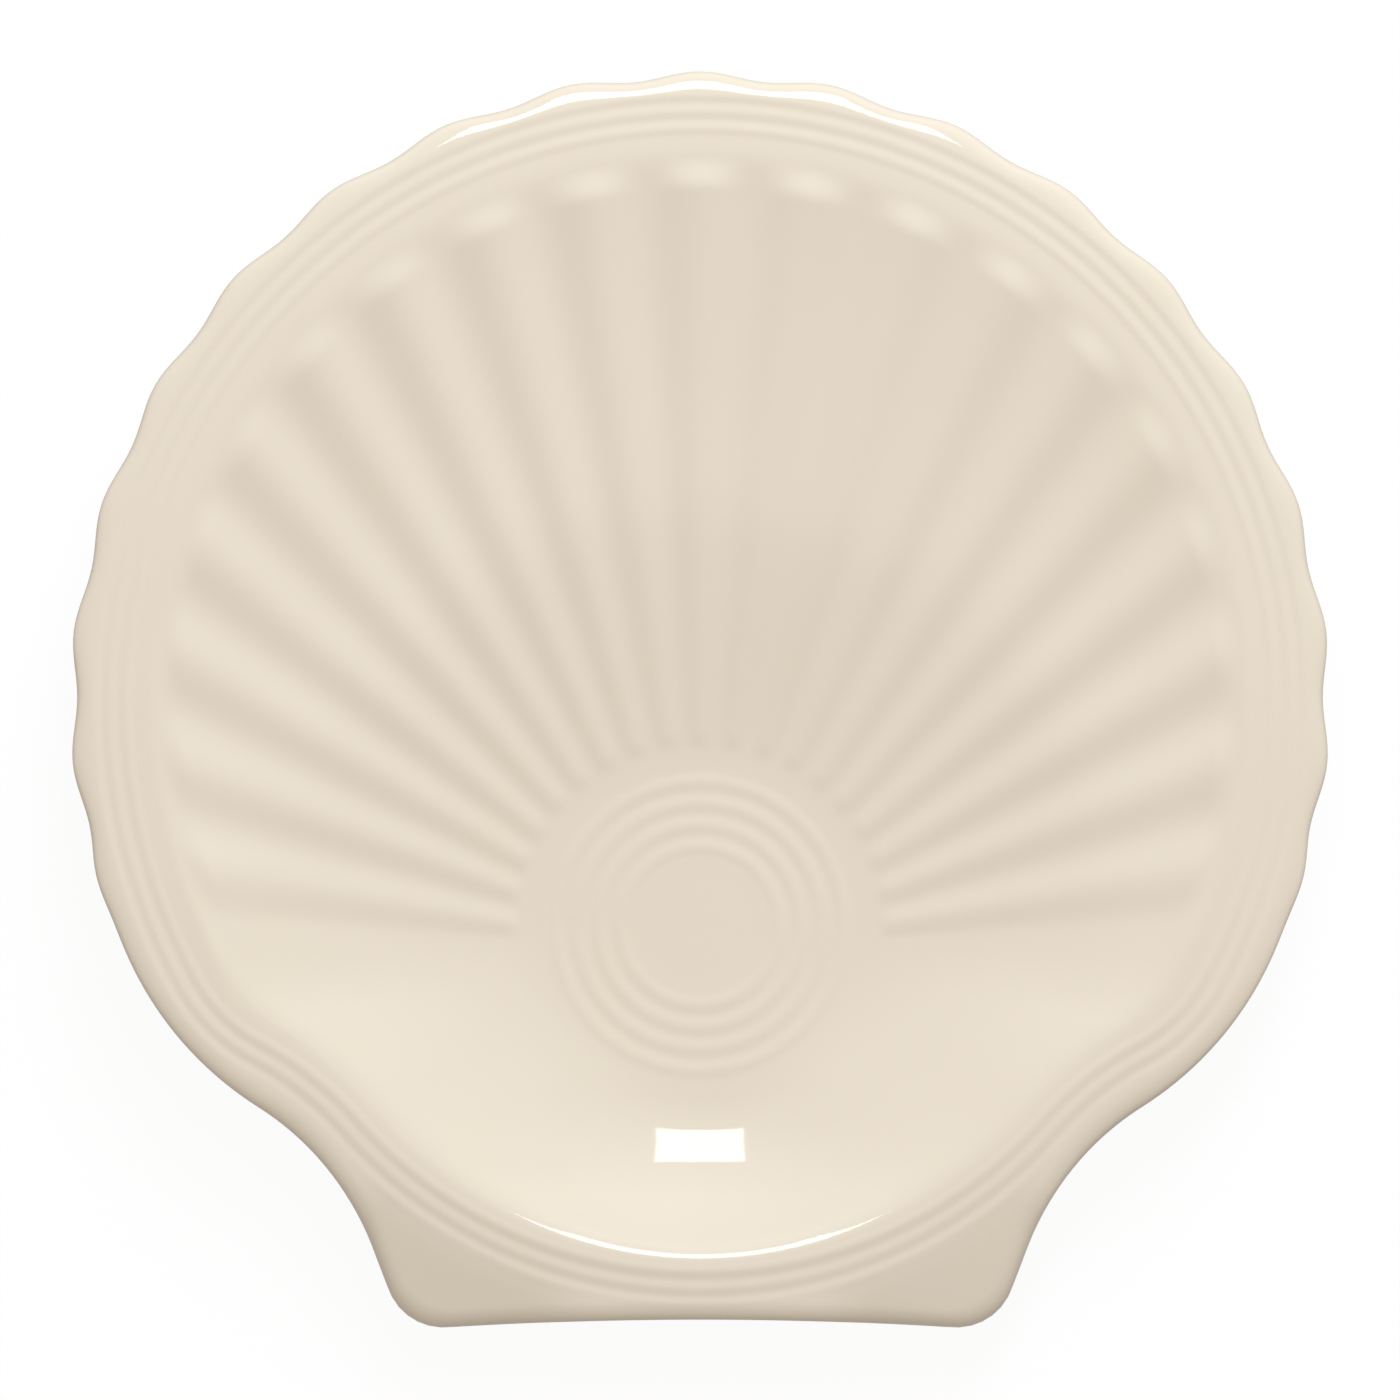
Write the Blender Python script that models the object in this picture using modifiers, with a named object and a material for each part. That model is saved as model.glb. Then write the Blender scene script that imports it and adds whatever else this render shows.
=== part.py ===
"""A shell shaped serving platter, pressed and glazed as one piece of stoneware.

Lengths are in metres and angles in radians. +Y points to the top of the fan, +X to the right and +Z up.
The platter stands on its foot ring at Z = 0, and the middle of its box is at X = 0, Y = 0.
Only the right half is modelled, and a Mirror modifier makes the left half.
"""

import math

import bmesh
import bpy

# Outline of the fan, measured from the fan's centre.
FAN_RADIUS = 0.1444
SCALLOP_DEPTH = 0.0017
RIB_PITCH = math.radians(11.95)
RIB_COUNT = 19

# Lower outline: shoulder, neck, ear and base edge. A bearing is the direction of the outward normal.
SHOULDER_BEARING = math.radians(-23.9)
SHOULDER_RADIUS = 0.0796
NECK_BEARING = math.radians(-57.6)
NECK_RADIUS = 0.0655
EAR_SIDE_BEARING = math.radians(-20.5)
EAR_CORNER_RADIUS = 0.0134
BASE_HOLLOW_RADIUS = 0.850
BASE_MARGIN = 0.0073

# Middle ridge of the rim, which the well's edge and the other ridges run parallel to.
RIDGE_MARGIN = 0.0084
RIDGE_SHOULDER_BEARING = math.radians(-28.7)
RIDGE_SHOULDER_RADIUS = 0.0408
RIDGE_NECK_BEARING = math.radians(-61.7)
RIDGE_NECK_RADIUS = 0.0783
RIDGE_FRONT_RADIUS = 0.1089
RIDGE_PITCH = 0.0039
RIDGE_HEIGHT = 0.0002
RIDGE_COUNT = 3

# Hub: a flat disc with raised rings, below the fan's centre.
HUB_OFFSET = 0.0518
HUB_RADIUS = 0.0424
HUB_RIB_PITCH = math.radians(10)
RING_COUNT = 4
RING_FIRST_RADIUS = 0.0183
RING_PITCH = 0.00503
RING_HEIGHT = 0.0003

# Section of the well, from the hub up to its edge. It is shallowest along the fan's ribs, and fullest towards
# the necks, at SIDE_BEARING from the top of the fan.
WELL_DEPTH = 0.0165
DISH_START_RADIUS = 0.0380
DISH_END_RADIUS = 0.0950
DISH_RISE_FAN = 0.0074
DISH_RISE_SIDE = 0.0156
DISH_RISE_FRONT = 0.0050
WALL_POWER_FAN = 2.6
WALL_POWER_SIDE = 2.2
WALL_POWER_FRONT = 2.0
FAN_END_BEARING = math.radians(90)
SIDE_BEARING = math.radians(130)
EDGE_INSET_FAN = 0.0104
EDGE_INSET_FRONT = 0.0078
EDGE_BLEND_FAN = 0.0005
EDGE_BLEND_FRONT = 0.0014

# Ribs of the fan, which have a rounded nose at both ends and gain height with each metre of their length.
RIB_HEIGHT_HUB = 0.00025
RIB_HEIGHT_GAIN = 0.0105
RIB_NOSE_HUB = 0.0050
RIB_NOSE_EDGE = 0.0085

# Section of the rim, outwards from the well's edge.
RIM_SLOPE = 0.02
LAND_SLOPE = 0.30
LAND_BLEND = 0.0020
EDGE_ROUND_WIDTH = 0.0026
EDGE_ROUND_HEIGHT = 0.0024
UNDER_ROUND_WIDTH = 0.0022

# Wall and foot ring. The foot's centre is measured from the fan's centre.
WALL_THICKNESS = 0.0052
FOOT_HEIGHT = 0.0030
FOOT_OFFSET = 0.0300
FOOT_RADIUS = 0.0670
FOOT_LAND = 0.0040
FOOT_DRAFT = 0.0015

# Fineness of the faceted surface. A fine column starts on every rib and scallop.
COLUMNS_PER_RIB = 6
FRONT_COLUMNS = 30
COARSE_STEP = 3
WELL_ROWS = (0.03, 0.07, 0.14, 0.25, 0.38, 0.52, 0.66, 0.78, 0.88, 0.94, 0.97)
UNDER_ROWS = (0.97, 0.86, 0.72, 0.55)

GLAZE_COLOUR = (0.753, 0.680, 0.558, 1.0)

HUB_FLOOR_HEIGHT = FOOT_HEIGHT + WALL_THICKNESS
RIM_CREST_HEIGHT = HUB_FLOOR_HEIGHT + WELL_DEPTH
RIBBED_SPAN = RIB_COUNT / 2
RIDGED_HALF_WIDTH = RIDGE_COUNT * RIDGE_PITCH / 2


def unit(bearing):
    return math.cos(bearing), math.sin(bearing)


def moved(point, direction, distance):
    return point[0] + direction[0] * distance, point[1] + direction[1] * distance


def between(start, end, share):
    return start[0] + (end[0] - start[0]) * share, start[1] + (end[1] - start[1]) * share


def smooth_step(value):
    value = min(max(value, 0.0), 1.0)
    return value * value * (3 - 2 * value)


def soft_above(value, width):
    """Zero below zero and value above it, with a rounded corner of this width."""
    return 0.5 * (value + math.sqrt(value * value + width * width))


def soft_minimum(first, second, width):
    """The lower of two heights, rounded where they come within width of each other."""
    overlap = max(width - abs(first - second), 0.0) / width
    return min(first, second) - overlap * overlap * width / 4


def wave(distance, pitch):
    """One at a crest, zero midway between crests."""
    return 0.5 + 0.5 * math.cos(2 * math.pi * distance / pitch)


class Arc:
    """Part of a path, from one bearing to another. A hollow arc has a negative radius."""

    def __init__(self, centre, radius, start, end):
        self.centre = centre
        self.radius = radius
        self.start = start
        self.end = end
        self.length = abs(radius * (end - start))

    def at(self, distance):
        bearing = self.start + (self.end - self.start) * distance / self.length
        return moved(self.centre, unit(bearing), self.radius), bearing

    def next_centre(self, radius):
        return moved(self.centre, unit(self.end), self.radius - radius)

    def hits(self, point, direction):
        """Distances along a ray at which it meets this arc."""
        away = (point[0] - self.centre[0], point[1] - self.centre[1])
        half = away[0] * direction[0] + away[1] * direction[1]
        inside = half * half - away[0] ** 2 - away[1] ** 2 + self.radius**2
        if inside < 0:
            return []
        found = []
        for distance in (-half - math.sqrt(inside), -half + math.sqrt(inside)):
            x, y = moved(away, direction, distance)
            side = math.copysign(1, self.radius)
            bearing = math.atan2(y * side, x * side)
            if min(self.start, self.end) <= bearing <= max(self.start, self.end):
                found.append(distance)
        return found


class Line:
    """A straight part of a path."""

    def __init__(self, start, bearing, length):
        self.start = start
        self.bearing = bearing
        self.length = length

    def hits(self, point, direction):
        normal = unit(self.bearing)
        along = (normal[1], -normal[0])
        towards = direction[0] * normal[0] + direction[1] * normal[1]
        if abs(towards) < 1e-9:
            return []
        gap = (self.start[0] - point[0], self.start[1] - point[1])
        distance = (gap[0] * normal[0] + gap[1] * normal[1]) / towards
        x, y = moved(point, direction, distance)
        place = (x - self.start[0]) * along[0] + (y - self.start[1]) * along[1]
        return [distance] if 0 <= place <= self.length else []


def ridge_path():
    """Right half of the middle ridge, from the top of the fan round to the front."""
    fan = Arc((0.0, 0.0), FAN_RADIUS - RIDGE_MARGIN, math.pi / 2, RIDGE_SHOULDER_BEARING)
    shoulder_centre = fan.next_centre(RIDGE_SHOULDER_RADIUS)
    shoulder = Arc(shoulder_centre, RIDGE_SHOULDER_RADIUS, RIDGE_SHOULDER_BEARING, RIDGE_NECK_BEARING)
    neck_centre = shoulder.next_centre(-RIDGE_NECK_RADIUS)
    front_bearing = -math.acos(neck_centre[0] / (RIDGE_NECK_RADIUS + RIDGE_FRONT_RADIUS))
    neck = Arc(neck_centre, -RIDGE_NECK_RADIUS, RIDGE_NECK_BEARING, front_bearing)
    front = Arc(neck.next_centre(RIDGE_FRONT_RADIUS), RIDGE_FRONT_RADIUS, front_bearing, -math.pi / 2)
    return [fan, shoulder, neck, front]


def outline_path(base_y):
    """Right half of the outline below the fan: shoulder, neck, ear side, ear corner and base edge."""
    fan = Arc((0.0, 0.0), FAN_RADIUS, math.pi / 2, SHOULDER_BEARING)
    shoulder = Arc(fan.next_centre(SHOULDER_RADIUS), SHOULDER_RADIUS, SHOULDER_BEARING, NECK_BEARING)
    neck = Arc(shoulder.next_centre(-NECK_RADIUS), -NECK_RADIUS, NECK_BEARING, EAR_SIDE_BEARING)
    side_start = neck.at(neck.length)[0]
    normal = unit(EAR_SIDE_BEARING)
    down = (normal[1], -normal[0])
    corner_start = moved(side_start, normal, -EAR_CORNER_RADIUS)
    base_centre = (0.0, base_y - BASE_HOLLOW_RADIUS)
    # The ear's side runs on until a corner arc fits between it and the hollow base edge.
    gap = (corner_start[0] - base_centre[0], corner_start[1] - base_centre[1])
    half = gap[0] * down[0] + gap[1] * down[1]
    reach = BASE_HOLLOW_RADIUS + EAR_CORNER_RADIUS
    side_length = -half - math.sqrt(half * half - gap[0] ** 2 - gap[1] ** 2 + reach * reach)
    corner_centre = moved(corner_start, down, side_length)
    base_bearing = math.atan2(base_centre[1] - corner_centre[1], base_centre[0] - corner_centre[0])
    return [
        fan,
        shoulder,
        neck,
        Line(side_start, EAR_SIDE_BEARING, side_length),
        Arc(corner_centre, EAR_CORNER_RADIUS, EAR_SIDE_BEARING, base_bearing),
        Arc(base_centre, -BASE_HOLLOW_RADIUS, base_bearing, -math.pi / 2),
    ]


class Column:
    """A line over the platter from the hub outwards, on which the points of every row lie."""

    def __init__(self, ridge_point, bearing, rib, swept, front_share, outline):
        self.ridge_point = ridge_point
        self.normal = unit(bearing)
        self.rib = rib
        self.hub_direction = unit(math.pi / 2 - swept)
        self.dish_rise = by_bearing(swept, DISH_RISE_FAN, DISH_RISE_SIDE, DISH_RISE_FRONT)
        self.wall_power = by_bearing(swept, WALL_POWER_FAN, WALL_POWER_SIDE, WALL_POWER_FRONT)
        self.edge_inset = EDGE_INSET_FAN + (EDGE_INSET_FRONT - EDGE_INSET_FAN) * front_share
        self.edge_blend = EDGE_BLEND_FAN + (EDGE_BLEND_FRONT - EDGE_BLEND_FAN) * front_share
        self.well_start = moved((0.0, -HUB_OFFSET), self.hub_direction, HUB_RADIUS)
        self.well_end = moved(ridge_point, self.normal, -self.edge_inset)
        self.length = math.dist(self.well_start, self.well_end)
        distances = [d for piece in outline for d in piece.hits(ridge_point, self.normal) if d > 0]
        # The scallops fade out over the last rib.
        scallop = SCALLOP_DEPTH * (wave(rib, 1.0) - 0.5)
        self.reach = min(distances) + scallop * (1 - smooth_step(rib - RIBBED_SPAN + 1))

    def in_hub(self, radius):
        return moved((0.0, -HUB_OFFSET), self.hub_direction, radius)

    def in_well(self, share):
        return between(self.well_start, self.well_end, share)

    def in_rim(self, offset):
        """The point this far outside the middle ridge."""
        return moved(self.ridge_point, self.normal, offset)

    def share_at(self, offset):
        """The share of the well's length that a rim point would have if the well went on."""
        return 1 + (offset + self.edge_inset) / self.length

    def share_on_foot(self, radius):
        """The share at which this column crosses a circle about the foot's centre."""
        start = (self.well_start[0], self.well_start[1] + FOOT_OFFSET)
        along = (
            (self.well_end[0] - self.well_start[0]) / self.length,
            (self.well_end[1] - self.well_start[1]) / self.length,
        )
        half = start[0] * along[0] + start[1] * along[1]
        root = math.sqrt(half * half - start[0] ** 2 - start[1] ** 2 + radius * radius)
        return (root - half) / self.length


def by_bearing(swept, fan, side, front):
    """A value for the well's section, blended from the fan past the necks to the front."""
    side_share = smooth_step((swept - FAN_END_BEARING) / (SIDE_BEARING - FAN_END_BEARING))
    front_share = smooth_step((swept - SIDE_BEARING) / (math.pi - SIDE_BEARING))
    return fan + (side - fan) * side_share + (front - side) * front_share


def dish_height(column, radius):
    """The shallow dish round the hub."""
    span = DISH_END_RADIUS - DISH_START_RADIUS
    place = (radius - DISH_START_RADIUS) / span
    return column.dish_rise * (soft_above(place, 0.15) - soft_above(place - 1, 0.15))


def hub_height(column, radius):
    """Height of the hub, with its rings."""
    height = HUB_FLOOR_HEIGHT + dish_height(column, radius)
    from_first = radius - RING_FIRST_RADIUS
    if -RING_PITCH / 2 <= from_first <= (RING_COUNT - 0.5) * RING_PITCH:
        height += RING_HEIGHT * wave(from_first, RING_PITCH)
    return height


def well_height(column, share):
    """Height of the well without its ribs."""
    edge_radius = math.dist(column.well_end, (0.0, -HUB_OFFSET))
    place = column.in_well(share)
    radius = math.dist(place, (0.0, -HUB_OFFSET))
    wall = WELL_DEPTH - dish_height(column, edge_radius)
    return HUB_FLOOR_HEIGHT + dish_height(column, radius) + wall * max(share, 0.0) ** column.wall_power


def rib_height(column, share):
    """Height of the ribs over the well. The last valley ends them."""
    if column.rib >= RIBBED_SPAN:
        return 0.0
    distance = share * column.length
    height = RIB_HEIGHT_HUB + RIB_HEIGHT_GAIN * distance
    noses = smooth_step(distance / RIB_NOSE_HUB) * smooth_step((column.length - distance) / RIB_NOSE_EDGE)
    return height * noses * wave(column.rib, 1.0)


def rim_height(column, offset):
    """Height of the rim's band and land without their ridges."""
    outside = soft_above(offset - RIDGED_HALF_WIDTH, LAND_BLEND)
    return (
        RIM_CREST_HEIGHT
        - RIM_SLOPE * (offset + column.edge_inset)
        - (LAND_SLOPE - RIM_SLOPE) * outside
    )


def ridge_height(offset):
    return RIDGE_HEIGHT * wave(offset, RIDGE_PITCH) if abs(offset) <= RIDGED_HALF_WIDTH else 0.0


def well_point(column, share):
    """A point of the upper face inside the well's edge."""
    x, y = column.in_well(share)
    lean = (
        (column.well_end[0] - column.well_start[0]) * column.normal[0]
        + (column.well_end[1] - column.well_start[1]) * column.normal[1]
    )
    offset = -column.edge_inset - (1 - share) * lean
    floor = soft_minimum(well_height(column, share), rim_height(column, offset), column.edge_blend)
    return x, y, floor + rib_height(column, share)


def rim_point(column, offset):
    """A point of the upper face outside the well's edge."""
    x, y = column.in_rim(offset)
    well = well_height(column, column.share_at(offset))
    rim = rim_height(column, offset)
    return x, y, soft_minimum(well, rim, column.edge_blend) + ridge_height(offset)


def edge_point(column, turn):
    """A point of the rounded outer edge: turn is 0 where it leaves the land and 1 where it is upright."""
    inset = EDGE_ROUND_WIDTH * (1 - math.sin(turn * math.pi / 2))
    drop = EDGE_ROUND_HEIGHT * (1 - math.cos(turn * math.pi / 2))
    offset = column.reach - inset
    x, y = column.in_rim(offset)
    return x, y, rim_height(column, offset) - drop


def upper_rows(columns):
    """Rows of points over the well, the rim and the edge, from the hub outwards."""
    rows = [[well_point(c, share) for c in columns] for share in (0.0, *WELL_ROWS, 1.0)]
    rows.append([rim_point(c, -(c.edge_inset + RIDGED_HALF_WIDTH) / 2) for c in columns])
    for step in range(2 * RIDGE_COUNT + 1):
        offset = step * RIDGE_PITCH / 2 - RIDGED_HALF_WIDTH
        rows.append([rim_point(c, min(offset, c.reach - EDGE_ROUND_WIDTH)) for c in columns])
    rows.extend([edge_point(c, turn) for c in columns] for turn in (0.33, 0.67, 1.0))
    return rows


def under_rows(columns):
    """Rows of points under the platter, from the edge inwards to the hub."""
    wall = WALL_THICKNESS
    round_row = []
    knee_row = []
    for c in columns:
        flat_end = c.reach - UNDER_ROUND_WIDTH
        round_row.append((*c.in_rim(flat_end), rim_height(c, c.reach) - wall))
        knee = min(RIDGED_HALF_WIDTH, flat_end / 2)
        knee_row.append((*c.in_rim(knee), rim_height(c, knee) - wall))
    rows = [round_row, knee_row]
    rows.append([(*c.in_rim(0.0), rim_height(c, 0.0) - wall) for c in columns])
    rows.extend([(*c.in_well(share), well_height(c, share) - wall) for c in columns] for share in UNDER_ROWS)
    for radius, on_ground in (
        (FOOT_RADIUS + FOOT_LAND / 2 + FOOT_DRAFT, False),
        (FOOT_RADIUS + FOOT_LAND / 2, True),
        (FOOT_RADIUS - FOOT_LAND / 2, True),
        (FOOT_RADIUS - FOOT_LAND / 2 - FOOT_DRAFT, False),
    ):
        row = []
        for c in columns:
            share = c.share_on_foot(radius)
            height = 0.0 if on_ground else well_height(c, share) - wall
            row.append((*c.in_well(share), height))
        rows.append(row)
    rows.append([(*c.in_hub(DISH_START_RADIUS), FOOT_HEIGHT) for c in columns])
    return rows


def hub_rows(columns):
    """Rows of points over the hub, from its rings outwards to the start of the well."""
    rings = range(2 * RING_COUNT + 1)
    radii = [RING_FIRST_RADIUS + (step - 1) * RING_PITCH / 2 for step in rings]
    return [[(*c.in_hub(radius), hub_height(c, radius)) for c in columns] for radius in radii]


def make_columns():
    """Columns of the right half, from the top of the fan round to the front."""
    path = ridge_path()
    base_y = path[-1].at(path[-1].length)[0][1] - BASE_MARGIN
    outline = outline_path(base_y)
    total = sum(piece.length for piece in path)
    rib_length = path[0].radius * RIB_PITCH
    ribbed_length = RIBBED_SPAN * rib_length
    ribbed_bearing = RIBBED_SPAN * HUB_RIB_PITCH
    fan_steps = round(RIBBED_SPAN * COLUMNS_PER_RIB)
    places = [ribbed_length * i / fan_steps for i in range(fan_steps)]
    places += [
        ribbed_length + (total - ribbed_length) * i / FRONT_COLUMNS for i in range(FRONT_COLUMNS + 1)
    ]
    # The hub bearing keeps its rate where the ribs end, and reaches straight ahead at the front.
    start_rate = HUB_RIB_PITCH / rib_length * (total - ribbed_length) / (math.pi - ribbed_bearing)
    columns = []
    for place in places:
        piece, distance = path[0], place
        for following in path[1:]:
            if distance <= piece.length + 1e-9:
                break
            distance -= piece.length
            piece = following
        point, bearing = piece.at(min(distance, piece.length))
        front = max(place - ribbed_length, 0.0) / (total - ribbed_length)
        eased = front * (start_rate + (1 - start_rate) * front * (2 - front))
        swept = min(place, ribbed_length) / rib_length * HUB_RIB_PITCH + eased * (math.pi - ribbed_bearing)
        share = smooth_step(front / 0.4)
        columns.append(Column(point, bearing, place / rib_length, swept, share, outline))
    return columns


def join_rows(bm, inner, outer):
    """Fills between two rows of vertices. The outer row may hold COARSE_STEP times as many spaces."""
    step = (len(outer) - 1) // (len(inner) - 1)
    for i in range(len(inner) - 1):
        fine = outer[i * step : (i + 1) * step + 1]
        if step == 1:
            bm.faces.new((inner[i], inner[i + 1], fine[1], fine[0]))
            continue
        middle = step // 2
        for j in range(step):
            near = inner[i] if j <= middle - (step % 2 == 0) else inner[i + 1]
            bm.faces.new((near, fine[j + 1], fine[j]))
        bm.faces.new((inner[i], inner[i + 1], fine[middle + step % 2]))


def fill_middle(bm, row, height):
    """Closes a row round the hub with a fan of triangles to one vertex at the hub's centre."""
    centre = bm.verts.new((0.0, -HUB_OFFSET, height))
    for first, second in zip(row, row[1:]):
        bm.faces.new((centre, second, first))


def platter_mesh():
    """The right half of the platter as one open surface, which the mirror closes."""
    columns = make_columns()
    coarse = columns[::COARSE_STEP]
    bm = bmesh.new()

    def vertex_rows(rows):
        made = []
        for row in rows:
            row = [(0.0, y, z) if i in (0, len(row) - 1) else (x, y, z) for i, (x, y, z) in enumerate(row)]
            made.append([bm.verts.new(point) for point in row])
        return made

    hub = vertex_rows(hub_rows(coarse))
    upper = vertex_rows(upper_rows(columns))
    under = vertex_rows(under_rows(coarse))
    fill_middle(bm, hub[0], HUB_FLOOR_HEIGHT)
    for inner, outer in zip(hub, hub[1:] + upper[:1]):
        join_rows(bm, inner, outer)
    for inner, outer in zip(upper, upper[1:]):
        join_rows(bm, inner, outer)
    for inner, outer in zip(under[::-1], under[-2::-1] + upper[-1:]):
        join_rows(bm, inner, outer)
    fill_middle(bm, under[-1], FOOT_HEIGHT)
    places_y = [vertex.co.y for vertex in bm.verts]
    bmesh.ops.translate(bm, verts=bm.verts, vec=(0.0, -(max(places_y) + min(places_y)) / 2, 0.0))
    bmesh.ops.recalc_face_normals(bm, faces=bm.faces)
    mesh = bpy.data.meshes.new("shell_platter")
    bm.to_mesh(mesh)
    bm.free()
    return mesh


def glaze_material():
    """Cream glaze over stoneware."""
    material = bpy.data.materials.new("cream_glaze")
    material.use_nodes = True
    shader = material.node_tree.nodes["Principled BSDF"]
    shader.inputs["Base Color"].default_value = GLAZE_COLOUR
    shader.inputs["Roughness"].default_value = 0.12
    shader.inputs["Metallic"].default_value = 0.0
    return material


def build():
    for obj in list(bpy.data.objects):
        bpy.data.objects.remove(obj)
    collection = bpy.data.collections.new("shell_platter")
    bpy.context.scene.collection.children.link(collection)
    mesh = platter_mesh()
    mesh.materials.append(glaze_material())
    mesh.shade_smooth()
    platter = bpy.data.objects.new("shell_platter", mesh)
    collection.objects.link(platter)
    mirror = platter.modifiers.new("left_half", "MIRROR")
    mirror.use_axis = (True, False, False)
    mirror.use_clip = True
    mirror.merge_threshold = 0.00001


build()
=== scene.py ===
"""Dresses a shell shaped platter and sets the stage that it is photographed on.

Lengths are in metres and angles in radians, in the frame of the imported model: +Y points to the top of
the fan, +X to the right, +Z up, and the platter stands at Z = 0. The smooth form of the platter is a mesh
of columns that run outwards from its hub and back under it. Geometry Nodes then press the relief into it:
ribs, ridges, rings and scallops.
"""

import math

import bpy
import numpy as np
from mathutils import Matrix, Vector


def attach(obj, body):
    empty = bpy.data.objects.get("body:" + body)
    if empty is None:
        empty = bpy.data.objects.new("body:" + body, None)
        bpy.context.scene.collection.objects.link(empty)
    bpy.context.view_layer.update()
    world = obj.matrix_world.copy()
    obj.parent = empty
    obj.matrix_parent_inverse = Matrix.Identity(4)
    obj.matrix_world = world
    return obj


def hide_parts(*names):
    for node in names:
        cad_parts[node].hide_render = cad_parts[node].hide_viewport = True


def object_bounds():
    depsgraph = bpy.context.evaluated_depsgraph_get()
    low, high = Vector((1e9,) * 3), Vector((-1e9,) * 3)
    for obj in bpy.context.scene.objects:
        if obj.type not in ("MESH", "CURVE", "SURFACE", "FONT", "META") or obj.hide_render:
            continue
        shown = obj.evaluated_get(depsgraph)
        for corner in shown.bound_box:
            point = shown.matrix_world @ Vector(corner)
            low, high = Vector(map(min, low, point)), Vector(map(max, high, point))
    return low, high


bl_info = {
    "name": "Shell Platter",
    "version": (1, 0, 0),
    "blender": (4, 5, 0),
    "location": "View3D > Sidebar > Shell Platter",
    "description": "Builds a glazed, shell shaped serving platter and its studio stage",
    "category": "Object",
}

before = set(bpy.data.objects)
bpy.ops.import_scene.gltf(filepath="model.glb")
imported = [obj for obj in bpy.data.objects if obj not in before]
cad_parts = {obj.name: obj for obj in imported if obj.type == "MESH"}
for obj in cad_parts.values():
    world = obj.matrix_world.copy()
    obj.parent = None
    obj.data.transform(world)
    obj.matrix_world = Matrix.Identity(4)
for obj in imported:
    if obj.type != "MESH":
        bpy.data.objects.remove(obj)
CAD_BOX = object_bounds()

# Outline of the fan, measured from the fan's centre. A bearing is the direction of the outward normal.
FAN_RADIUS = 0.1444
RIB_PITCH = math.radians(11.95)
RIBBED_SPAN = 9.5
SHOULDER_BEARING = math.radians(-23.9)
SHOULDER_RADIUS = 0.0796
NECK_BEARING = math.radians(-57.6)
NECK_RADIUS = 0.0655
EAR_SIDE_BEARING = math.radians(-20.5)
EAR_CORNER_RADIUS = 0.0134
BASE_HOLLOW_RADIUS = 0.850
BASE_MARGIN = 0.0073

# Middle ridge of the rim, which the well's edge and the other ridges run parallel to.
RIDGE_MARGIN = 0.0084
RIDGE_SHOULDER_BEARING = math.radians(-28.7)
RIDGE_SHOULDER_RADIUS = 0.0408
RIDGE_NECK_BEARING = math.radians(-61.7)
RIDGE_NECK_RADIUS = 0.0783
RIDGE_FRONT_RADIUS = 0.1089

# Hub and well. The dish round the hub rises most towards the necks, at SIDE_BEARING from the fan's top. The
# well's edge changes over FRONT_BLEND, a share of the way from the last rib to the front.
HUB_OFFSET = 0.0518
HUB_RADIUS = 0.0406
HUB_RIB_PITCH = math.radians(10)
WELL_DEPTH = 0.0165
DISH_START_RADIUS = 0.0380
DISH_END_RADIUS = 0.0950
DISH_BLEND = 0.15
DISH_RISE_FAN = 0.0074
DISH_RISE_SIDE = 0.0163
DISH_RISE_FRONT = 0.0050
WALL_POWER_FAN = 2.6
WALL_POWER_SIDE = 2.2
WALL_POWER_FRONT = 2.0
FAN_END_BEARING = math.radians(90)
SIDE_BEARING = math.radians(137)
EDGE_INSET_FAN = 0.0104
EDGE_INSET_FRONT = 0.0078
EDGE_BLEND_FAN = 0.0005
EDGE_BLEND_FRONT = 0.0029
FRONT_BLEND = 0.4
RIB_NOSE_HUB = 0.0042
RIB_NOSE_EDGE = 0.0076

# Rim, outwards from the well's edge. The land is the strip outside the ridges, where there is room for one.
RIM_SLOPE_FAN = 0.02
RIM_SLOPE_SIDE = 0.125
RIM_SLOPE_FRONT = 0.09
LAND_SLOPE = 0.30
LAND_BLEND = 0.0020
LAND_START_REACH = 0.0095
LAND_FULL_REACH = 0.0150
EDGE_ROUND_WIDTH_FAN = 0.0054
EDGE_ROUND_HEIGHT_FAN = 0.0021
EDGE_ROUND_WIDTH_EAR = 0.0048
EDGE_ROUND_HEIGHT_EAR = 0.0024

# Underside. The foot's centre is measured from the fan's centre.
WALL_THICKNESS = 0.0052
FOOT_HEIGHT = 0.0030
FOOT_OFFSET = 0.0300
FOOT_RADIUS = 0.0670
FOOT_LAND = 0.0040
FOOT_ROUND = 0.0009
FOOT_FILLET = 0.0022
FOOT_FILLET_SHARE = 0.5
FOOT_CORNER_SHARE = 0.2
UNDER_ROUND_WIDTH = 0.0026

HUB_FLOOR_HEIGHT = FOOT_HEIGHT + WALL_THICKNESS
RIM_CREST_HEIGHT = HUB_FLOOR_HEIGHT + WELL_DEPTH

# Fineness of the mesh. Shares are of the way from the hub to the well's edge.
COLUMNS_PER_RIB = 16
FRONT_COLUMNS = 70
ROWS_PER_RING = 8
ROWS_PER_HALF_RIDGE = 5
HUB_MIDDLE_ROWS = 3
HUB_EDGE_ROWS = 6
NOSE_ROWS = 8
NOSE_END_SHARE = 0.06
WALL_ROWS = 24
WALL_START_SHARE = 0.84
RIM_INNER_ROWS = 6
ROUND_ROWS = 24
UNDER_ROUND_ROWS = 7
UNDER_RIM_SHARES = (0.75, 0.5, 0.25, 0.0)
UNDER_WELL_SHARE = 0.985
UNDER_WELL_ROWS = 18
UNDER_HUB_RADII = (0.034, 0.028, 0.018, 0.008)
FOOT_FILLET_ROWS = 6
FOOT_CORNER_ROWS = 5
FAR_AWAY = 1.0
TINY = 1e-9

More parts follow.
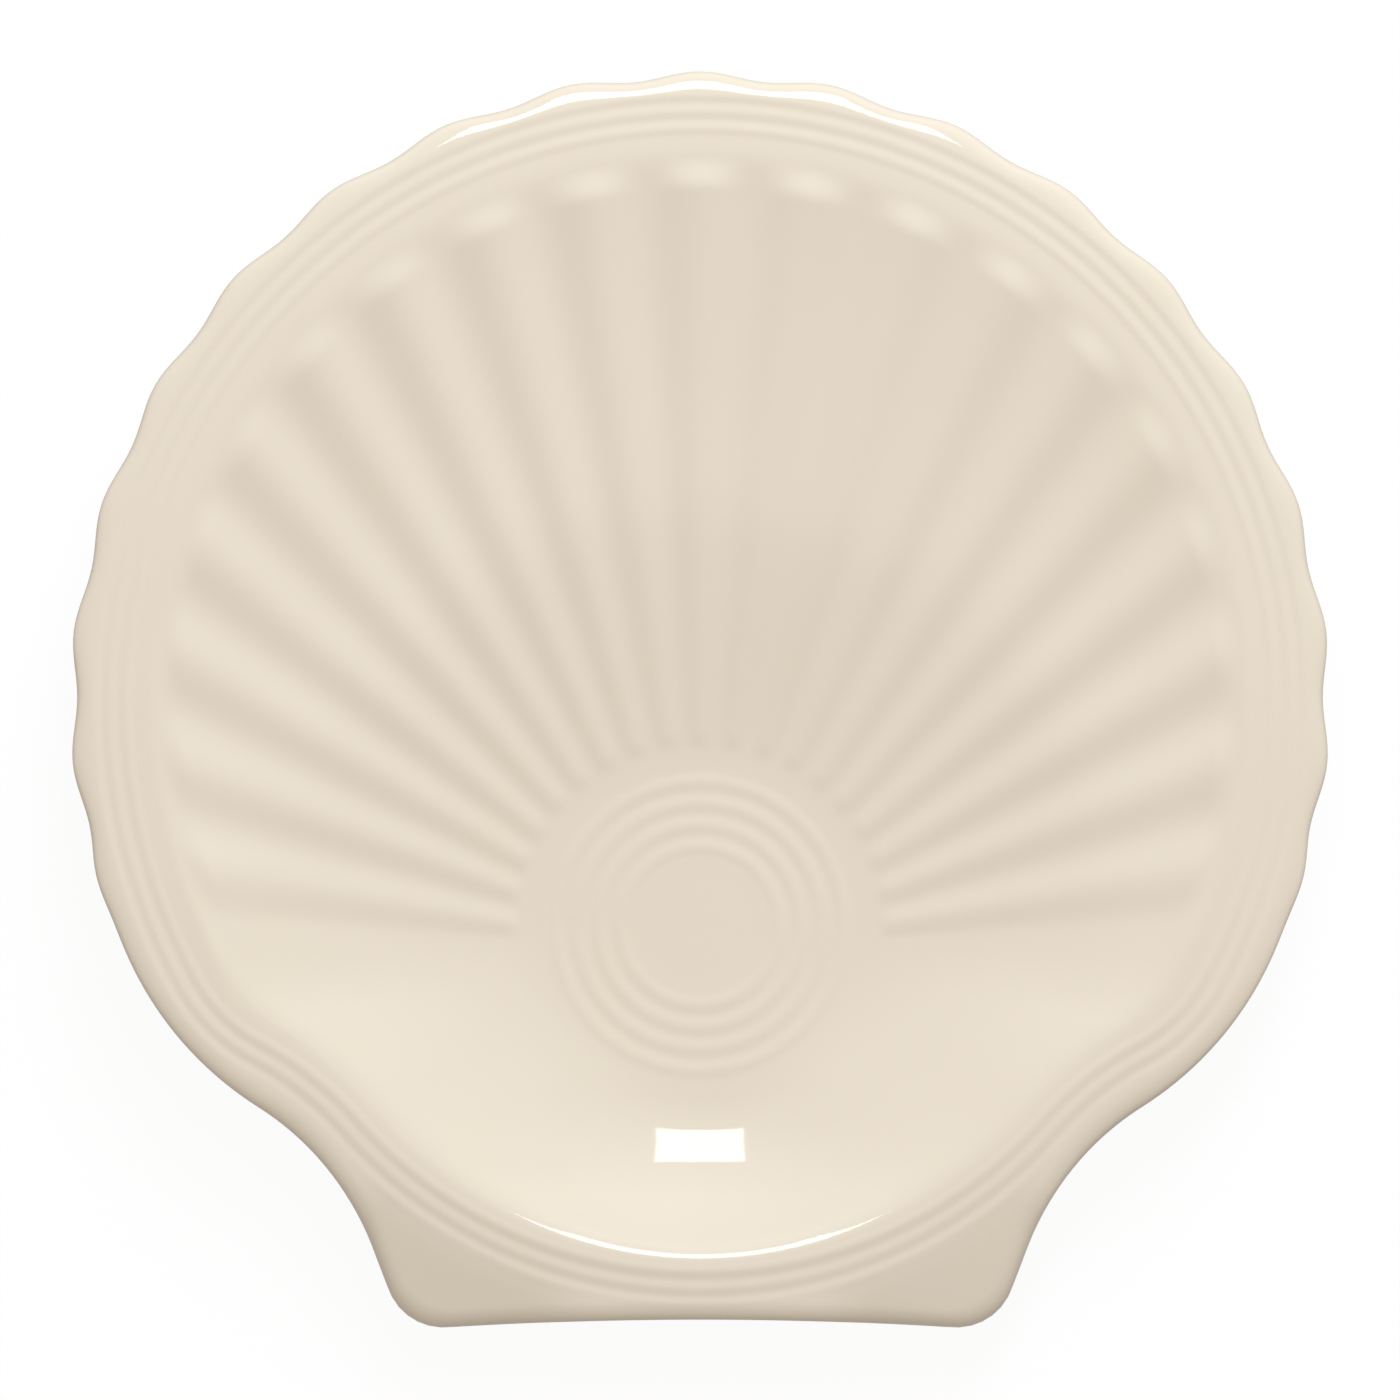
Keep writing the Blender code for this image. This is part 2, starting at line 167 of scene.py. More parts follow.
# Glaze. The STEEP values are of the upward part of the surface's normal; between them the darker colour of
# thinned glaze and painted shade comes in.
GLAZE_IOR = 1.56
CLOUD_SIZE = 0.035
WAVE_LENGTH = 0.014
STEEP_START = 0.87
STEEP_FULL = 0.45
BARE_HEIGHT = 0.0007
GLAZED_HEIGHT = 0.0010
CLAY_ROUGHNESS = 0.85

# Stage.
WHITE = (1.0, 1.0, 1.0, 1.0)
LENS = 400
SENSOR_WIDTH = 36


def sizes():
    return bpy.context.scene.platter_sizes


def unit(bearing):
    return math.cos(bearing), math.sin(bearing)


def moved(point, direction, distance):
    return point[0] + direction[0] * distance, point[1] + direction[1] * distance


def smooth_step(value):
    value = np.clip(value, 0.0, 1.0)
    return value * value * (3 - 2 * value)


def soft_above(value, width):
    """Zero below zero and value above it, with a rounded corner of this width."""
    return 0.5 * (value + np.sqrt(value * value + width * width))


class Arc:
    """Part of a path, from one bearing to another. A hollow arc has a negative radius."""

    def __init__(self, centre, radius, start, end):
        self.centre = centre
        self.radius = radius
        self.start = start
        self.end = end
        self.length = abs(radius * (end - start))

    def at(self, distance):
        bearing = self.start + (self.end - self.start) * distance / self.length
        return moved(self.centre, unit(bearing), self.radius), bearing

    def next_centre(self, radius):
        return moved(self.centre, unit(self.end), self.radius - radius)

    def hits(self, point, direction):
        """Distances along a ray at which it meets this arc."""
        away = (point[0] - self.centre[0], point[1] - self.centre[1])
        half = away[0] * direction[0] + away[1] * direction[1]
        inside = half * half - away[0] ** 2 - away[1] ** 2 + self.radius**2
        if inside < 0:
            return []
        found = []
        for distance in (-half - math.sqrt(inside), -half + math.sqrt(inside)):
            x, y = moved(away, direction, distance)
            side = math.copysign(1, self.radius)
            bearing = math.atan2(y * side, x * side)
            if min(self.start, self.end) <= bearing <= max(self.start, self.end):
                found.append(distance)
        return found


class Line:
    """A straight part of a path."""

    def __init__(self, start, bearing, length):
        self.start = start
        self.bearing = bearing
        self.length = length

    def hits(self, point, direction):
        normal = unit(self.bearing)
        along = (normal[1], -normal[0])
        towards = direction[0] * normal[0] + direction[1] * normal[1]
        if abs(towards) < TINY:
            return []
        gap = (self.start[0] - point[0], self.start[1] - point[1])
        distance = (gap[0] * normal[0] + gap[1] * normal[1]) / towards
        x, y = moved(point, direction, distance)
        place = (x - self.start[0]) * along[0] + (y - self.start[1]) * along[1]
        return [distance] if 0 <= place <= self.length else []


def ridge_path():
    """Right half of the middle ridge, from the top of the fan round to the front."""
    fan = Arc((0.0, 0.0), FAN_RADIUS - RIDGE_MARGIN, math.pi / 2, RIDGE_SHOULDER_BEARING)
    shoulder_centre = fan.next_centre(RIDGE_SHOULDER_RADIUS)
    shoulder = Arc(shoulder_centre, RIDGE_SHOULDER_RADIUS, RIDGE_SHOULDER_BEARING, RIDGE_NECK_BEARING)
    neck_centre = shoulder.next_centre(-RIDGE_NECK_RADIUS)
    front_bearing = -math.acos(neck_centre[0] / (RIDGE_NECK_RADIUS + RIDGE_FRONT_RADIUS))
    neck = Arc(neck_centre, -RIDGE_NECK_RADIUS, RIDGE_NECK_BEARING, front_bearing)
    front_centre = neck.next_centre(RIDGE_FRONT_RADIUS)
    front = Arc(front_centre, RIDGE_FRONT_RADIUS, front_bearing, -math.pi / 2)
    return [fan, shoulder, neck, front]


def outline_path(base_y):
    """Right half of the outline: fan, shoulder, neck, ear side, ear corner and base edge."""
    fan = Arc((0.0, 0.0), FAN_RADIUS, math.pi / 2, SHOULDER_BEARING)
    shoulder = Arc(fan.next_centre(SHOULDER_RADIUS), SHOULDER_RADIUS, SHOULDER_BEARING, NECK_BEARING)
    neck = Arc(shoulder.next_centre(-NECK_RADIUS), -NECK_RADIUS, NECK_BEARING, EAR_SIDE_BEARING)
    side_start = neck.at(neck.length)[0]
    normal = unit(EAR_SIDE_BEARING)
    down = (normal[1], -normal[0])
    corner_start = moved(side_start, normal, -EAR_CORNER_RADIUS)
    base_centre = (0.0, base_y - BASE_HOLLOW_RADIUS)
    # The ear's side runs on until a corner arc fits between it and the hollow base edge.
    gap = (corner_start[0] - base_centre[0], corner_start[1] - base_centre[1])
    half = gap[0] * down[0] + gap[1] * down[1]
    reach = BASE_HOLLOW_RADIUS + EAR_CORNER_RADIUS
    side_length = -half - math.sqrt(half * half - gap[0] ** 2 - gap[1] ** 2 + reach * reach)
    corner_centre = moved(corner_start, down, side_length)
    base_bearing = math.atan2(base_centre[1] - corner_centre[1], base_centre[0] - corner_centre[0])
    return [
        fan,
        shoulder,
        neck,
        Line(side_start, EAR_SIDE_BEARING, side_length),
        Arc(corner_centre, EAR_CORNER_RADIUS, EAR_SIDE_BEARING, base_bearing),
        Arc(base_centre, -BASE_HOLLOW_RADIUS, base_bearing, -math.pi / 2),
    ]


class Columns:
    """All the columns of the platter, clockwise from the top of the fan, as arrays."""

    def __init__(self):
        path = ridge_path()
        base_y = path[-1].at(path[-1].length)[0][1] - BASE_MARGIN
        outline = outline_path(base_y)
        total = sum(piece.length for piece in path)
        rib_length = path[0].radius * RIB_PITCH
        ribbed = RIBBED_SPAN * rib_length
        fan_steps = round(RIBBED_SPAN * COLUMNS_PER_RIB)
        places = np.append(
            ribbed * np.arange(fan_steps) / fan_steps,
            ribbed + (total - ribbed) * np.arange(FRONT_COLUMNS + 1) / FRONT_COLUMNS,
        )
        ridge, outward, reach = [], [], []
        for place in places:
            piece, distance = path[0], place
            for following in path[1:]:
                if distance <= piece.length + TINY:
                    break
                distance -= piece.length
                piece = following
            point, bearing = piece.at(min(distance, piece.length))
            ridge.append(point)
            outward.append(unit(bearing))
            reach.append(min(d for part in outline for d in part.hits(point, unit(bearing)) if d > 0))
        # The hub bearing keeps its rate where the ribs end, and reaches straight ahead at the front.
        swept_by_ribs = RIBBED_SPAN * HUB_RIB_PITCH
        start_rate = HUB_RIB_PITCH / rib_length * (total - ribbed) / (math.pi - swept_by_ribs)
        front = np.maximum(places - ribbed, 0.0) / (total - ribbed)
        eased = front * (start_rate + (1 - start_rate) * front * (2 - front))
        swept = np.minimum(places, ribbed) / rib_length * HUB_RIB_PITCH
        swept = swept + eased * (math.pi - swept_by_ribs)

        def all_round(right, mirror=1.0):
            """A value for the right half, followed by its mirror image without the two shared ends."""
            right = np.asarray(right)
            return np.concatenate([right, right[-2:0:-1] * mirror])

        flip = np.array([-1.0, 1.0])
        self.rib = all_round(places / rib_length)
        self.ridge = all_round(ridge, flip)
        self.outward = all_round(outward, flip)
        self.reach = all_round(reach)
        self.hub_side = all_round(np.stack([np.sin(swept), np.cos(swept)], axis=1), flip)
        self.dish_rise = all_round(by_bearing(swept, DISH_RISE_FAN, DISH_RISE_SIDE, DISH_RISE_FRONT))
        self.wall_power = all_round(by_bearing(swept, WALL_POWER_FAN, WALL_POWER_SIDE, WALL_POWER_FRONT))
        self.rim_slope = all_round(by_bearing(swept, RIM_SLOPE_FAN, RIM_SLOPE_SIDE, RIM_SLOPE_FRONT))
        self.land = smooth_step((self.reach - LAND_START_REACH) / (LAND_FULL_REACH - LAND_START_REACH))
        front_share = all_round(smooth_step(front / FRONT_BLEND))

        def towards_front(fan_value, front_value):
            return fan_value + (front_value - fan_value) * front_share

        self.inset = towards_front(EDGE_INSET_FAN, EDGE_INSET_FRONT)
        self.blend = towards_front(EDGE_BLEND_FAN, EDGE_BLEND_FRONT)
        self.round_width = towards_front(EDGE_ROUND_WIDTH_FAN, EDGE_ROUND_WIDTH_EAR)
        self.round_height = towards_front(EDGE_ROUND_HEIGHT_FAN, EDGE_ROUND_HEIGHT_EAR)
        self.ribbed = (self.rib < RIBBED_SPAN).astype(float)
        # The scallops fade out over the last rib.
        self.scallop_fade = 1 - smooth_step(self.rib - RIBBED_SPAN + 1)
        self.start = self.in_hub(HUB_RADIUS)
        self.end = self.in_rim(-self.inset)
        self.length = np.linalg.norm(self.end - self.start, axis=1)
        self.lean = np.sum((self.end - self.start) * self.outward, axis=1)

    def in_hub(self, radius):
        return np.array([0.0, -HUB_OFFSET]) + self.hub_side * radius

    def in_well(self, share):
        return self.start + (self.end - self.start) * np.reshape(share, (-1, 1))

    def in_rim(self, offset):
        """Points this far outside the middle ridge."""
        return self.ridge + self.outward * np.reshape(offset, (-1, 1))

    def well_offset(self, share):
        """The offset from the middle ridge of a point inside the well's edge."""
        return -self.inset - (1 - share) * self.lean

    def rim_share(self, offset):
        """The share of the well's length that a rim point would have if the well went on."""
        return 1 + (offset + self.inset) / self.length

    def share_on_foot(self, radius):
        """The share at which each column crosses a circle about the foot's centre."""
        start = self.start + np.array([0.0, FOOT_OFFSET])
        along = (self.end - self.start) / self.length[:, None]
        half = np.sum(start * along, axis=1)
        root = np.sqrt(half * half - np.sum(start * start, axis=1) + radius * radius)
        return (root - half) / self.length


def by_bearing(swept, fan, side, front):
    """A value for the well's section, blended from the fan past the necks to the front."""
    side_share = smooth_step((swept - FAN_END_BEARING) / (SIDE_BEARING - FAN_END_BEARING))
    front_share = smooth_step((swept - SIDE_BEARING) / (math.pi - SIDE_BEARING))
    return fan + (side - fan) * side_share + (front - side) * front_share


def dish_height(columns, radius):
    """Height of the shallow dish round the hub, above the hub's middle."""

    def risen_at(distance):
        place = (distance - DISH_START_RADIUS) / (DISH_END_RADIUS - DISH_START_RADIUS)
        return soft_above(place, DISH_BLEND) - soft_above(place - 1, DISH_BLEND)

    return columns.dish_rise * (risen_at(radius) - risen_at(0.0))


def well_height(columns, share):
    """Height of the well without its ribs."""
    hub = np.array([0.0, -HUB_OFFSET])
    edge_radius = np.linalg.norm(columns.end - hub, axis=1)
    radius = np.linalg.norm(columns.in_well(share) - hub, axis=1)
    wall = WELL_DEPTH - dish_height(columns, edge_radius)
    climbed = wall * np.maximum(share, 0.0) ** columns.wall_power
    return HUB_FLOOR_HEIGHT + dish_height(columns, radius) + climbed


def rim_height(columns, offset):
    """Height of the rim's band, land and rounded edge without their ridges."""
    ridged_half_width = sizes().ridge_count * sizes().ridge_pitch / 2
    outside = soft_above(offset - ridged_half_width, LAND_BLEND)
    slope = columns.rim_slope
    fall = slope * (offset + columns.inset) + (LAND_SLOPE - slope) * columns.land * outside
    into_round = np.clip(1 - (columns.reach - offset) / columns.round_width, 0.0, 1.0)
    return RIM_CREST_HEIGHT - fall - columns.round_height * (1 - np.sqrt(1 - into_round**2))


class Row:
    """A ring of points, one for each column, with what the relief needs to know at each."""

    def __init__(self, columns, points, height, **values):
        count = len(columns.rib)
        self.points = np.column_stack([points, np.broadcast_to(height, count)])
        self.values = {
            "rib_share": 0.0,
            "rib_distance": 0.0,
            "rim_drop": FAR_AWAY,
            "ridge_offset": FAR_AWAY,
            "ring_radius": FAR_AWAY,
            "scallop_share": 0.0,
            **values,
        }


def hub_row(columns, radius):
    height = HUB_FLOOR_HEIGHT + dish_height(columns, radius)
    return Row(columns, columns.in_hub(radius), height, ring_radius=radius)


def well_row(columns, share, points=None, offset=None, **values):
    """A row of the upper face, at the well's height. The relief lowers it where the rim is lower."""
    if points is None:
        points = columns.in_well(share)
        offset = columns.well_offset(share)
    height = well_height(columns, share)
    distance = share * columns.length
    hub_nose = smooth_step(distance / RIB_NOSE_HUB)
    edge_nose = smooth_step((columns.length - distance) / RIB_NOSE_EDGE)
    return Row(
        columns,
        points,
        height,
        rib_share=columns.ribbed * (hub_nose * edge_nose),
        rib_distance=distance,
        rim_drop=rim_height(columns, offset) - height,
        **values,
    )


def rim_row(columns, offset, **values):
    share = columns.rim_share(offset)
    return well_row(columns, share, columns.in_rim(offset), offset, ridge_offset=offset, **values)


def steps_after(start, end, count):
    """This many equal steps after the start. The last one is the end."""
    return np.linspace(start, end, count + 1)[1:]


def upper_rows(columns):
    """Rows over the upper face, from the hub outwards to where the edge is upright."""
    sized = sizes()
    ring_start = sized.ring_first_radius - sized.ring_pitch / 2
    ring_end = ring_start + sized.ring_count * sized.ring_pitch
    radii = np.concatenate([
        steps_after(0.0, ring_start, HUB_MIDDLE_ROWS),
        steps_after(ring_start, ring_end, ROWS_PER_RING * sized.ring_count),
        steps_after(ring_end, HUB_RADIUS, HUB_EDGE_ROWS)[:-1],
    ])
    rows = [hub_row(columns, radius) for radius in radii]
    shares = np.concatenate([
        [0.0],
        steps_after(0.0, NOSE_END_SHARE, NOSE_ROWS),
        steps_after(NOSE_END_SHARE, WALL_START_SHARE, WALL_ROWS),
        steps_after(WALL_START_SHARE, 1.0, WALL_ROWS),
    ])
    rows += [well_row(columns, share) for share in shares]
    half_width = sized.ridge_count * sized.ridge_pitch / 2
    last_crest = half_width - sized.ridge_pitch / 2
    for step in range(1, RIM_INNER_ROWS):
        inner = (columns.inset - half_width) * step / RIM_INNER_ROWS
        rows.append(rim_row(columns, inner - columns.inset))
    ridged_rows = ROWS_PER_HALF_RIDGE * (2 * sized.ridge_count - 1)
    rows += [rim_row(columns, offset) for offset in np.linspace(-half_width, last_crest, ridged_rows + 1)]
    # Outside the last crest the rows crowd towards the edge, and the scallops stretch them more and more.
    for turn in steps_after(0.0, math.pi / 2, ROUND_ROWS):
        share = math.sin(turn)
        offset = last_crest + (columns.reach - last_crest) * share
        rows.append(rim_row(columns, offset, scallop_share=share))
    return rows


def under_rows(columns):
    """Rows under the platter, from the edge inwards to the hub."""
    rows = []
    upper = rim_height(columns, columns.reach)
    lower = upper + columns.round_height - WALL_THICKNESS
    for turn in steps_after(0.0, math.pi / 2, UNDER_ROUND_ROWS):
        points = columns.in_rim(columns.reach - UNDER_ROUND_WIDTH * (1 - math.cos(turn)))
        height = upper + (lower - upper) * math.sin(turn)
        rows.append(Row(columns, points, height, scallop_share=math.cos(turn)))
    flat_end = columns.reach - UNDER_ROUND_WIDTH
    for share in UNDER_RIM_SHARES:
        offset = flat_end * share
        height = rim_height(columns, np.minimum(offset, columns.reach - columns.round_width))
        rows.append(Row(columns, columns.in_rim(offset), height - WALL_THICKNESS))
    outer_foot = columns.share_on_foot(FOOT_RADIUS + FOOT_LAND / 2 + FOOT_FILLET)
    for step in range(UNDER_WELL_ROWS):
        share = UNDER_WELL_SHARE + (outer_foot - UNDER_WELL_SHARE) * step / UNDER_WELL_ROWS
        rows.append(Row(columns, columns.in_well(share), well_height(columns, share) - WALL_THICKNESS))
    outline = foot_side()
    for side, section in ((1, outline), (-1, outline[::-1])):
        for out, height_share in section:
            share = columns.share_on_foot(FOOT_RADIUS + side * out)
            body = well_height(columns, share) - WALL_THICKNESS
            rows.append(Row(columns, columns.in_well(share), body * height_share))
    rows += [Row(columns, columns.in_hub(radius), FOOT_HEIGHT) for radius in UNDER_HUB_RADII]
    return rows


def foot_side():
    """Half of the foot's section, from body to ground: distance from its middle, share of body's height."""
    half = FOOT_LAND / 2
    fillet = [
        (half + FOOT_FILLET * (1 - math.sin(turn)), 1 - FOOT_FILLET_SHARE * (1 - math.cos(turn)))
        for turn in np.linspace(0, math.pi / 2, FOOT_FILLET_ROWS)
    ]
    corner = [
        (half - FOOT_ROUND * (1 - math.cos(turn)), FOOT_CORNER_SHARE * (1 - math.sin(turn)))
        for turn in np.linspace(0, math.pi / 2, FOOT_CORNER_ROWS)
    ]
    return fillet + corner


def ring_mesh(name, columns, rows):
    """A closed mesh through the rows, with a pole at each end, and the rows' values as attributes."""
    count = len(columns.rib)
    top = (0.0, -HUB_OFFSET, HUB_FLOOR_HEIGHT)
    bottom = (0.0, -HUB_OFFSET, FOOT_HEIGHT)
    points = np.concatenate([row.points for row in rows] + [[top, bottom]])
    fan_top = FAN_RADIUS + sizes().scallop_depth / 2
    points[:, 1] += CAD_BOX[1].y - fan_top
    index = np.arange(len(rows) * count).reshape(len(rows), count)
    turned = np.roll(index, -1, axis=1)
    quads = np.stack([index[:-1], turned[:-1], turned[1:], index[1:]], axis=2).reshape(-1, 4)
    pole = len(rows) * count
    faces = quads.tolist()
    faces += [(pole, b, a) for a, b in zip(index[0].tolist(), turned[0].tolist())]
    faces += [(pole + 1, a, b) for a, b in zip(index[-1].tolist(), turned[-1].tolist())]
    mesh = bpy.data.meshes.new(name)
    mesh.from_pydata(points.tolist(), [], faces)
    for key in rows[0].values:
        values = [np.broadcast_to(row.values[key], count) for row in rows]
        store(mesh, key, "FLOAT", np.concatenate(values + [[values[0][0], values[-1][0]]]))
    per_column = {"rib": columns.rib, "corner": columns.blend, "land": columns.land}
    for key, values in per_column.items():
        store(mesh, key, "FLOAT", np.append(np.tile(values, len(rows)), [values[0]] * 2))
    # The scallops pull points outwards, and down with the rim.
    pull = np.column_stack([columns.outward, np.full(count, -RIM_SLOPE_FAN)])
    pull = np.tile(pull * columns.scallop_fade[:, None], (len(rows), 1))
    store(mesh, "pull", "FLOAT_VECTOR", np.concatenate([pull, np.zeros((2, 3))]))
    return mesh


def store(mesh, name, kind, values):
    """Keeps a value for each point of the mesh as an attribute."""
    attribute = mesh.attributes.new(name, kind, "POINT")
    field = "vector" if kind == "FLOAT_VECTOR" else "value"
    attribute.data.foreach_set(field, np.asarray(values, dtype=np.float32).ravel())


def add_node(tree, kind, settings=None, inputs=None):
    """Adds a node, sets it, and links or fills its inputs."""
    node = tree.nodes.new(kind)
    for name, value in (settings or {}).items():
        setattr(node, name, value)
    for key, value in (inputs or {}).items():
        if isinstance(value, bpy.types.NodeSocket):
            tree.links.new(value, node.inputs[key])
        else:
            node.inputs[key].default_value = value
    return node


def add_steps(tree, known, steps):
    """Adds a Math node for each step: its name, its operation and its operands, as names or numbers."""
    for name, operation, *operands in steps:
        values = [known[value] if isinstance(value, str) else value for value in operands]
        inputs = dict(enumerate(values))
        node = add_node(tree, "ShaderNodeMath", {"operation": operation, "label": name}, inputs)
        known[name] = node.outputs[0]


def wave_steps(name, phase):
    """One at a whole phase and zero midway."""
    return [
        (f"{name}_turn", "MULTIPLY", phase, 2 * math.pi),
        (f"{name}_cosine", "COSINE", f"{name}_turn"),
        (name, "MULTIPLY_ADD", f"{name}_cosine", 0.5, 0.5),
    ]


RELIEF_INPUTS = {
    "rib_height_hub": "Rib height at the hub",
    "rib_height_gain": "Rib height gain",
    "rib_sharpness": "Rib sharpness",
    "ridge_height": "Ridge height",
    "ridge_pitch": "Ridge pitch",
    "ridge_count": "Ridge count",
    "ring_height": "Ring height",
    "ring_pitch": "Ring pitch",
    "ring_first_radius": "First ring's radius",
    "ring_count": "Ring count",
    "scallop_depth": "Scallop depth",
}
RELIEF_VALUES = (
    "rib",
    "corner",
    "land",
    "rib_share",
    "rib_distance",
    "rim_drop",
    "ridge_offset",
    "ring_radius",
    "scallop_share",
)


def relief_tree():
    """Nodes that press ribs, ridges, rings and scallops into the smooth form."""
    tree = bpy.data.node_groups.new("press_relief", "GeometryNodeTree")
    tree.interface.new_socket("Form", in_out="INPUT", socket_type="NodeSocketGeometry")
    for name in RELIEF_INPUTS.values():
        tree.interface.new_socket(name, in_out="INPUT", socket_type="NodeSocketFloat")
    tree.interface.new_socket("Glaze", in_out="INPUT", socket_type="NodeSocketMaterial")
    tree.interface.new_socket("Platter", in_out="OUTPUT", socket_type="NodeSocketGeometry")
    given = add_node(tree, "NodeGroupInput")
    known = {key: given.outputs[name] for key, name in RELIEF_INPUTS.items()}
    for key in RELIEF_VALUES:
        attribute = add_node(
            tree, "GeometryNodeInputNamedAttribute", {"data_type": "FLOAT"}, {"Name": key}
        )
        known[key] = attribute.outputs["Attribute"]
    ribs = [
        *wave_steps("rib_wave", "rib"),
        ("rib_crest", "POWER", "rib_wave", "rib_sharpness"),
        ("rib_height", "MULTIPLY_ADD", "rib_height_gain", "rib_distance", "rib_height_hub"),
        ("rib_with_noses", "MULTIPLY", "rib_crest", "rib_share"),
        # Smooth Minimum needs half as much again to round the corner as widely as the part's solid has it.
        ("corner_width", "MULTIPLY", "corner", 1.5),
        ("well_or_rim", "SMOOTH_MIN", 0.0, "rim_drop", "corner_width"),
        ("with_ribs", "MULTIPLY_ADD", "rib_with_noses", "rib_height", "well_or_rim"),
    ]
    ridges = [
        ("ridge_phase", "DIVIDE", "ridge_offset", "ridge_pitch"),
        *wave_steps("ridge_wave", "ridge_phase"),
        ("half_count", "MULTIPLY", "ridge_count", 0.5),
        ("half_width", "MULTIPLY", "half_count", "ridge_pitch"),
        ("from_middle", "ABSOLUTE", "ridge_offset"),
        ("on_ridges", "LESS_THAN", "from_middle", "half_width"),
        ("ridge", "MULTIPLY", "ridge_wave", "on_ridges"),
        # Where no land lies outside it, the last ridge runs straight into the edge's round.
        ("last_crest", "MULTIPLY_ADD", "ridge_pitch", -0.5, "half_width"),
        ("past_crest", "GREATER_THAN", "ridge_offset", "last_crest"),
        ("near_rim", "LESS_THAN", "ridge_offset", FAR_AWAY / 2),
        ("past_crest_on_rim", "MULTIPLY", "past_crest", "near_rim"),
        ("no_land", "SUBTRACT", 1.0, "land"),
        ("held", "MULTIPLY", "past_crest_on_rim", "no_land"),
        ("below_crest", "SUBTRACT", 1.0, "ridge"),
        ("ridge_or_held", "MULTIPLY_ADD", "held", "below_crest", "ridge"),
        ("with_ridges", "MULTIPLY_ADD", "ridge_or_held", "ridge_height", "with_ribs"),
    ]
    rings = [
        ("from_first_ring", "SUBTRACT", "ring_radius", "ring_first_radius"),
        ("ring_phase", "DIVIDE", "from_first_ring", "ring_pitch"),
        *wave_steps("ring_wave", "ring_phase"),
        ("middle_ring", "MULTIPLY_ADD", "ring_count", 0.5, -0.5),
        ("from_middle_ring", "SUBTRACT", "ring_phase", "middle_ring"),
        ("rings_away", "ABSOLUTE", "from_middle_ring"),
        ("half_rings", "MULTIPLY", "ring_count", 0.5),
        ("on_rings", "LESS_THAN", "rings_away", "half_rings"),
        ("ring", "MULTIPLY", "ring_wave", "on_rings"),
        ("raised", "MULTIPLY_ADD", "ring", "ring_height", "with_ridges"),
    ]
    scallops = [
        ("scallop", "SUBTRACT", "rib_wave", 0.5),
        ("scallop_here", "MULTIPLY", "scallop", "scallop_share"),
        ("scallop_move", "MULTIPLY", "scallop_here", "scallop_depth"),
    ]
    add_steps(tree, known, ribs + ridges + rings + scallops)
    pull = add_node(
        tree, "GeometryNodeInputNamedAttribute", {"data_type": "FLOAT_VECTOR"}, {"Name": "pull"}
    )
    pulled = add_node(
        tree,
        "ShaderNodeVectorMath",
        {"operation": "SCALE"},
        {"Vector": pull.outputs["Attribute"], "Scale": known["scallop_move"]},
    )
    lifted = add_node(tree, "ShaderNodeCombineXYZ", inputs={"Z": known["raised"]})
    offset = add_node(
        tree,
        "ShaderNodeVectorMath",
        {"operation": "ADD"},
        {0: pulled.outputs["Vector"], 1: lifted.outputs[0]},
    )
    pressed = add_node(
        tree,
        "GeometryNodeSetPosition",
        inputs={"Geometry": given.outputs["Form"], "Offset": offset.outputs["Vector"]},
    )
    real = add_node(
        tree, "GeometryNodeRealizeInstances", inputs={"Geometry": pressed.outputs["Geometry"]}
    )
    glazed = add_node(
        tree,
        "GeometryNodeSetMaterial",
        inputs={"Geometry": real.outputs["Geometry"], "Material": given.outputs["Glaze"]},
    )
    add_node(tree, "NodeGroupOutput", inputs={"Platter": glazed.outputs["Geometry"]})
    return tree


def press_relief(form, glaze):
    """Runs the relief's nodes on the form and keeps the result as a plain mesh."""
    tree = relief_tree()
    modifier = form.modifiers.new("relief", "NODES")
    modifier.node_group = tree
    sized = sizes()
    values = {name: getattr(sized, key) for key, name in RELIEF_INPUTS.items()}
    values["Glaze"] = glaze
    for socket in tree.interface.items_tree:
        if socket.in_out == "INPUT" and socket.name in values:
            value = values[socket.name]
            modifier[socket.identifier] = float(value) if isinstance(value, int) else value
    depsgraph = bpy.context.evaluated_depsgraph_get()
    mesh = bpy.data.meshes.new_from_object(form.evaluated_get(depsgraph))
    form.modifiers.clear()
    smooth = form.data
    form.data = mesh
    bpy.data.meshes.remove(smooth)
    mesh.name = form.name
    for name in (*RELIEF_VALUES, "pull"):
        if name in mesh.attributes:
            mesh.attributes.remove(mesh.attributes[name])
    mesh.shade_smooth()


def linear(hex_colour):
    """The linear colour of an sRGB hex value."""
    parts = [int(hex_colour[i : i + 2], 16) / 255 for i in (1, 3, 5)]
    return (*[p / 12.92 if p <= 0.04045 else ((p + 0.055) / 1.055) ** 2.4 for p in parts], 1.0)


def new_material(name):
    """An empty material and its node tree."""
    material = bpy.data.materials.new(name)
    material.use_nodes = True
    material.node_tree.nodes.clear()
    return material, material.node_tree


